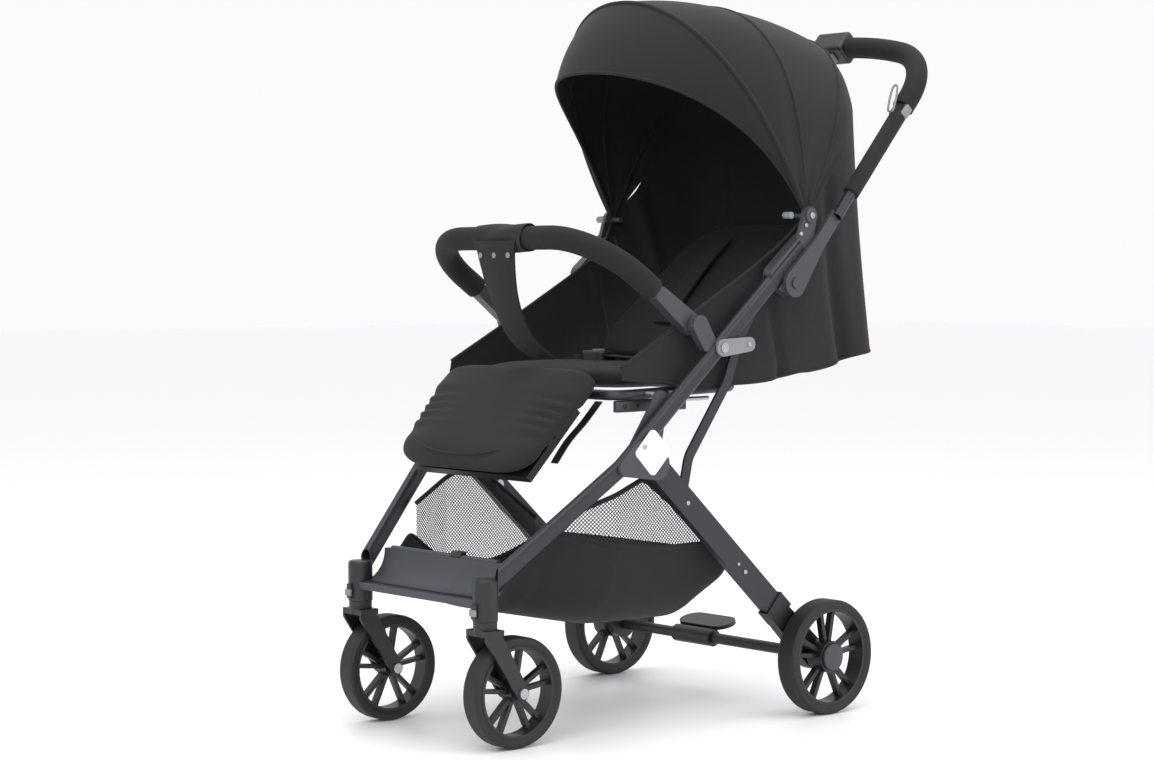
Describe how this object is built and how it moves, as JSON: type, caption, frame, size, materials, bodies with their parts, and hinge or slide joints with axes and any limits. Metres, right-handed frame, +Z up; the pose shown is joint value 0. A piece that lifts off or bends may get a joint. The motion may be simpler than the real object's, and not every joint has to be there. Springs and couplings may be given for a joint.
{
  "type": "baby stroller",
  "caption": "Compact folding stroller with hooded canopy, padded seat, bumper bar, calf rest, mesh basket, swivel front casters and foot brake",
  "frame": {"origin": "on the floor under the middle of the stroller's box", "axes": "+X is the child's left, +Y is the rear where the handle is, +Z is up"},
  "size_m": [0.4944, 0.8599, 1.0133],
  "materials": {
    "frame_paint": "dark grey satin paint on aluminium tube",
    "grey_plastic": "dark grey moulded nylon",
    "black_plastic": "black moulded plastic",
    "badge_white": "plain silver-white cap",
    "steel": "zinc plated steel",
    "button_grey": "grey moulded plastic",
    "foam_black": "black textured foam",
    "tyre_black": "black foam rubber tyre",
    "fabric_black": "black woven polyester",
    "mesh_grey": "grey open mesh with black panels"
  },
  "bodies": {
    "frame": {"left_main_tube": "frame_paint", "right_main_tube": "frame_paint", "left_caster_housing": "black_plastic", "right_caster_housing": "black_plastic", "footrest_step": "grey_plastic", "hub_brackets": "grey_plastic", "hub_badges": "badge_white", "frame_pins": "steel", "top_joints": "grey_plastic", "seat_frame_tube": "frame_paint", "bumper_sockets": "grey_plastic", "basket": "mesh_grey", "seat_pad": "fabric_black", "seat_enclosure": "fabric_black", "buckle": "black_plastic", "canopy_rear_hoop": "steel", "canopy_rear_cloth": "fabric_black"},
    "rear_legs": {"left_rear_leg": "frame_paint", "right_rear_leg": "frame_paint", "left_axle_foot": "black_plastic", "right_axle_foot": "black_plastic", "rear_axle_tube": "frame_paint", "strut_pins": "steel"},
    "struts": {"struts": "frame_paint"},
    "link_clips": {"link_clips": "grey_plastic"},
    "handle": {"handle_tube": "frame_paint", "handle_grip": "foam_black", "release_housing": "black_plastic", "handle_discs": "grey_plastic"},
    "release_button": {"release_button": "button_grey"},
    "left_caster": {"left_caster_fork": "black_plastic", "left_front_axle": "steel"},
    "right_caster": {"right_caster_fork": "black_plastic", "right_front_axle": "steel"},
    "left_front_wheel": {"left_front_tyre": "tyre_black", "left_front_rim": "black_plastic"},
    "right_front_wheel": {"right_front_tyre": "tyre_black", "right_front_rim": "black_plastic"},
    "left_rear_wheel": {"left_rear_tyre": "tyre_black", "left_rear_rim": "black_plastic"},
    "right_rear_wheel": {"right_rear_tyre": "tyre_black", "right_rear_rim": "black_plastic"},
    "brake_pedal": {"brake_pedal": "black_plastic"},
    "left_brake_pin": {"left_brake_pin": "steel"},
    "right_brake_pin": {"right_brake_pin": "steel"},
    "bumper": {"bumper_tube": "steel", "bumper_foam": "foam_black", "bumper_ends": "grey_plastic"},
    "left_bumper_button": {"left_bumper_button": "button_grey"},
    "right_bumper_button": {"right_bumper_button": "button_grey"},
    "calf_rest": {"calf_board": "black_plastic", "calf_pad": "fabric_black"},
    "backrest": {"backrest_board": "black_plastic", "backrest_pad": "fabric_black"},
    "canopy_mid": {"canopy_mid_hoop": "steel", "canopy_mid_cloth": "fabric_black"},
    "canopy_front": {"canopy_front_hoop": "steel", "canopy_front_cloth": "fabric_black"},
    "canopy_visor": {"canopy_visor": "fabric_black"},
    "buckle_button": {"buckle_button": "button_grey"}
  },
  "joints": [
    {"name": "handle_fold", "type": "hinge", "parent": "frame", "child": "handle", "pos_m": [0, 0.09213, 0.61331], "axis": [1, 0, 0], "range_deg": [0, 140], "deforming": ["seat_enclosure", "basket"]},
    {"name": "rear_leg_fold", "type": "hinge", "parent": "frame", "child": "rear_legs", "pos_m": [0, -0.16867, 0.3707], "axis": [1, 0, 0], "range_deg": [-56, 0]},
    {"name": "link_swing", "type": "hinge", "parent": "frame", "child": "link_clips", "pos_m": [0, -0.04588, 0.52514], "axis": [1, 0, 0], "range_deg": [-77, 0]},
    {"name": "strut_swing", "type": "hinge", "parent": "rear_legs", "child": "struts", "pos_m": [0, -0.1069, 0.31378], "axis": [1, 0, 0], "range_deg": [0, 44.8]},
    {"name": "left_caster_swivel", "type": "hinge", "parent": "frame", "child": "left_caster", "pos_m": [0.1386, -0.4025, 0], "axis": [0, 0, 1], "continuous": true},
    {"name": "left_front_wheel_spin", "type": "hinge", "parent": "left_caster", "child": "left_front_wheel", "pos_m": [0.1386, -0.3555, 0.0743], "axis": [1, 0, 0], "continuous": true},
    {"name": "left_rear_wheel_spin", "type": "hinge", "parent": "rear_legs", "child": "left_rear_wheel", "pos_m": [0.2307, 0.1452, 0.0815], "axis": [1, 0, 0], "continuous": true},
    {"name": "right_caster_swivel", "type": "hinge", "parent": "frame", "child": "right_caster", "pos_m": [-0.1386, -0.4025, 0], "axis": [0, 0, 1], "continuous": true},
    {"name": "right_front_wheel_spin", "type": "hinge", "parent": "right_caster", "child": "right_front_wheel", "pos_m": [-0.1386, -0.3555, 0.0743], "axis": [1, 0, 0], "continuous": true},
    {"name": "right_rear_wheel_spin", "type": "hinge", "parent": "rear_legs", "child": "right_rear_wheel", "pos_m": [-0.2307, 0.1452, 0.0815], "axis": [1, 0, 0], "continuous": true},
    {"name": "brake_pedal_press", "type": "hinge", "parent": "rear_legs", "child": "brake_pedal", "pos_m": [-0.037, 0.1452, 0.0815], "axis": [1, 0, 0], "range_deg": [-15, 0]},
    {"name": "left_brake_pin_slide", "type": "slide", "parent": "rear_legs", "child": "left_brake_pin", "axis": [1, 0, 0], "range_m": [0, 0.005]},
    {"name": "right_brake_pin_slide", "type": "slide", "parent": "rear_legs", "child": "right_brake_pin", "axis": [-1, 0, 0], "range_m": [0, 0.005]},
    {"name": "bumper_turn", "type": "hinge", "parent": "frame", "child": "bumper", "pos_m": [0, -0.08303, 0.55645], "axis": [1, 0, 0], "range_deg": [0, 38]},
    {"name": "left_bumper_button_press", "type": "slide", "parent": "bumper", "child": "left_bumper_button", "axis": [1, 0, 0], "range_m": [0, 0.0025], "stiffness_N_per_m": 400},
    {"name": "right_bumper_button_press", "type": "slide", "parent": "bumper", "child": "right_bumper_button", "axis": [-1, 0, 0], "range_m": [0, 0.0025], "stiffness_N_per_m": 400},
    {"name": "calf_rest_tilt", "type": "hinge", "parent": "frame", "child": "calf_rest", "pos_m": [0, -0.205, 0.463], "axis": [1, 0, 0], "range_deg": [-46, 0]},
    {"name": "backrest_recline", "type": "hinge", "parent": "frame", "child": "backrest", "pos_m": [0, 0.02, 0.469], "axis": [1, 0, 0], "range_deg": [0, 32]},
    {"name": "canopy_mid_fold", "type": "hinge", "parent": "frame", "child": "canopy_mid", "pos_m": [0, 0.1283, 0.70888], "axis": [1, 0, 0], "range_deg": [-25, 0], "deforming": ["canopy_mid_cloth"]},
    {"name": "canopy_front_fold", "type": "hinge", "parent": "canopy_mid", "child": "canopy_front", "pos_m": [0, 0.1283, 0.70888], "axis": [1, 0, 0], "range_deg": [-14, 0], "deforming": ["canopy_front_cloth"]},
    {"name": "canopy_visor_fold", "type": "hinge", "parent": "canopy_front", "child": "canopy_visor", "pos_m": [0, 0.1283, 0.70888], "axis": [1, 0, 0], "range_deg": [-20, 0], "deforming": ["canopy_visor"]},
    {"name": "fold_button_press", "type": "slide", "parent": "handle", "child": "release_button", "axis": [0, 0.6561, 0.7547], "range_m": [0, 0.003], "stiffness_N_per_m": 400},
    {"name": "buckle_button_press", "type": "slide", "parent": "frame", "child": "buckle_button", "axis": [0, 0, -1], "range_m": [0, 0.0025], "stiffness_N_per_m": 400}
  ],
  "couplings": [
    {"joint": "rear_leg_fold", "follows": "handle_fold", "ratio": -0.4},
    {"joint": "link_swing", "follows": "handle_fold", "ratio": -0.55},
    {"joint": "strut_swing", "follows": "handle_fold", "ratio": 0.32},
    {"joint": "left_brake_pin_slide", "follows": "brake_pedal_press", "m_per_rad": -0.01909},
    {"joint": "right_brake_pin_slide", "follows": "brake_pedal_press", "m_per_rad": -0.01909}
  ]
}
